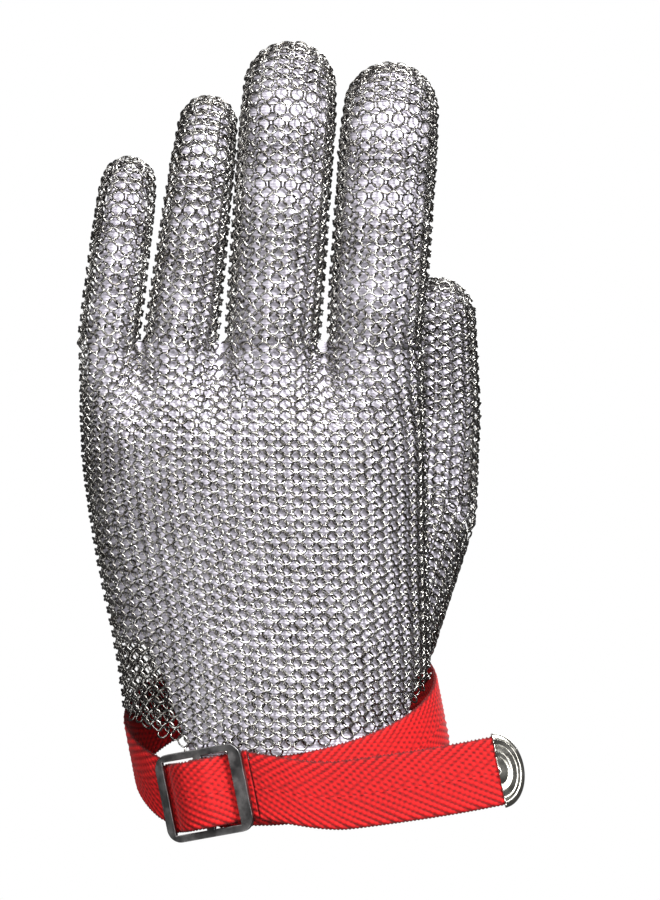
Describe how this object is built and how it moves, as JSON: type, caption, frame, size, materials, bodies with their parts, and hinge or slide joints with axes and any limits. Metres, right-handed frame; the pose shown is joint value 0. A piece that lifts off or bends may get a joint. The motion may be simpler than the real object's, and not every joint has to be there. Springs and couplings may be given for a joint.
{
  "type": "chain mail glove",
  "caption": "Chain mail safety glove of welded steel rings over a knitted liner, fingers and thumb that bend, closed at the wrist by a webbing strap with a slider.",
  "frame": {"origin": "centre of the wrist opening, at the height of the lowest point of the back panel's hem", "axes": "+Z along the hand to the fingertips, -Y out of the back of the hand, +X to the thumb's side"},
  "size_m": [0.1221, 0.0961, 0.217],
  "materials": {
    "steel_rings": "bright welded stainless rings",
    "liner_knit": "fine pale knit",
    "red_webbing": "herringbone webbing",
    "gunmetal": "dark satin plate",
    "pressed_steel": "pressed bright plate",
    "keeper_wire": "bent wire"
  },
  "bodies": {
    "hand": {"mail_back_panel": "steel_rings", "mail_palm_panel": "steel_rings", "liner_hand": "liner_knit", "strap_band": "red_webbing", "slide_buckle": "gunmetal", "strap_keepers": "keeper_wire"},
    "index_proximal": {"mail_index_proximal": "steel_rings", "liner_index_proximal": "liner_knit"},
    "index_middle": {"mail_index_middle": "steel_rings", "liner_index_middle": "liner_knit"},
    "index_tip": {"mail_index_tip": "steel_rings", "liner_index_tip": "liner_knit"},
    "middle_proximal": {"mail_middle_proximal": "steel_rings", "liner_middle_proximal": "liner_knit"},
    "middle_middle": {"mail_middle_middle": "steel_rings", "liner_middle_middle": "liner_knit"},
    "middle_tip": {"mail_middle_tip": "steel_rings", "liner_middle_tip": "liner_knit"},
    "ring_proximal": {"mail_ring_proximal": "steel_rings", "liner_ring_proximal": "liner_knit"},
    "ring_middle": {"mail_ring_middle": "steel_rings", "liner_ring_middle": "liner_knit"},
    "ring_tip": {"mail_ring_tip": "steel_rings", "liner_ring_tip": "liner_knit"},
    "little_proximal": {"mail_little_proximal": "steel_rings", "liner_little_proximal": "liner_knit"},
    "little_middle": {"mail_little_middle": "steel_rings", "liner_little_middle": "liner_knit"},
    "little_tip": {"mail_little_tip": "steel_rings", "liner_little_tip": "liner_knit"},
    "thumb_proximal": {"mail_thumb_proximal": "steel_rings", "liner_thumb_proximal": "liner_knit"},
    "thumb_tip": {"mail_thumb_tip": "steel_rings", "liner_thumb_tip": "liner_knit"},
    "strap_tail": {"strap_tail": "red_webbing", "strap_tip": "pressed_steel"}
  },
  "joints": [
    {"name": "index_base_bend", "type": "hinge", "parent": "hand", "child": "index_proximal", "pos_m": [0.02658, 0.00133, 0.12647], "axis": [-0.9976, 0, 0.0698], "range_deg": [-5, 50]},
    {"name": "index_middle_bend", "type": "hinge", "parent": "index_proximal", "child": "index_middle", "pos_m": [0.02824, 0.00341, 0.1502], "axis": [-0.9976, 0, 0.0698], "range_deg": [-10, 60]},
    {"name": "index_tip_bend", "type": "hinge", "parent": "index_middle", "child": "index_tip", "pos_m": [0.02953, 0.00841, 0.16876], "axis": [-0.9976, 0, 0.0698], "range_deg": [-5, 30]},
    {"name": "middle_base_bend", "type": "hinge", "parent": "hand", "child": "middle_proximal", "pos_m": [-0.00125, 0.00131, 0.12647], "axis": [-0.9977, 0, 0.068], "range_deg": [-5, 50]},
    {"name": "middle_middle_bend", "type": "hinge", "parent": "middle_proximal", "child": "middle_middle", "pos_m": [0.00057, 0.00366, 0.15319], "axis": [-0.9977, 0, 0.068], "range_deg": [-10, 60]},
    {"name": "middle_tip_bend", "type": "hinge", "parent": "middle_middle", "child": "middle_tip", "pos_m": [0.00194, 0.00905, 0.1732], "axis": [-0.9977, 0, 0.068], "range_deg": [-5, 30]},
    {"name": "ring_base_bend", "type": "hinge", "parent": "hand", "child": "ring_proximal", "pos_m": [-0.0258, 0.00101, 0.12391], "axis": [-0.9925, 0, 0.1219], "range_deg": [-5, 50]},
    {"name": "ring_middle_bend", "type": "hinge", "parent": "ring_proximal", "child": "ring_middle", "pos_m": [-0.02314, 0.00285, 0.14559], "axis": [-0.9925, 0, 0.1219], "range_deg": [-10, 60]},
    {"name": "ring_tip_bend", "type": "hinge", "parent": "ring_middle", "child": "ring_tip", "pos_m": [-0.02109, 0.0073, 0.16222], "axis": [-0.9925, 0, 0.1219], "range_deg": [-5, 30]},
    {"name": "little_base_bend", "type": "hinge", "parent": "hand", "child": "little_proximal", "pos_m": [-0.04564, 0.00082, 0.12193], "axis": [-0.9925, 0, 0.1219], "range_deg": [-5, 50]},
    {"name": "little_middle_bend", "type": "hinge", "parent": "little_proximal", "child": "little_middle", "pos_m": [-0.04377, 0.00215, 0.13719], "axis": [-0.9925, 0, 0.1219], "range_deg": [-10, 60]},
    {"name": "little_tip_bend", "type": "hinge", "parent": "little_middle", "child": "little_tip", "pos_m": [-0.04231, 0.00534, 0.14904], "axis": [-0.9925, 0, 0.1219], "range_deg": [-5, 30]},
    {"name": "thumb_spread", "type": "hinge", "parent": "hand", "child": "thumb_proximal", "pos_m": [0.04, 0.03, 0.066], "axis": [0, 0.8827, -0.4699], "range_deg": [0, 35]},
    {"name": "thumb_bend", "type": "hinge", "parent": "thumb_proximal", "child": "thumb_tip", "pos_m": [0.0426, 0.04, 0.095], "axis": [0.9428, -0.33, 0.0465], "range_deg": [0, 40]},
    {"name": "tail_swing", "type": "hinge", "parent": "hand", "child": "strap_tail", "pos_m": [-0.00542, -0.03427, -0.00995], "axis": [0.1961, 0, -0.9806], "range_deg": [0, 40]}
  ],
  "couplings": [
    {"joint": "index_tip_bend", "follows": "index_middle_bend", "ratio": 0.5},
    {"joint": "middle_tip_bend", "follows": "middle_middle_bend", "ratio": 0.5},
    {"joint": "ring_tip_bend", "follows": "ring_middle_bend", "ratio": 0.5},
    {"joint": "little_tip_bend", "follows": "little_middle_bend", "ratio": 0.5}
  ]
}
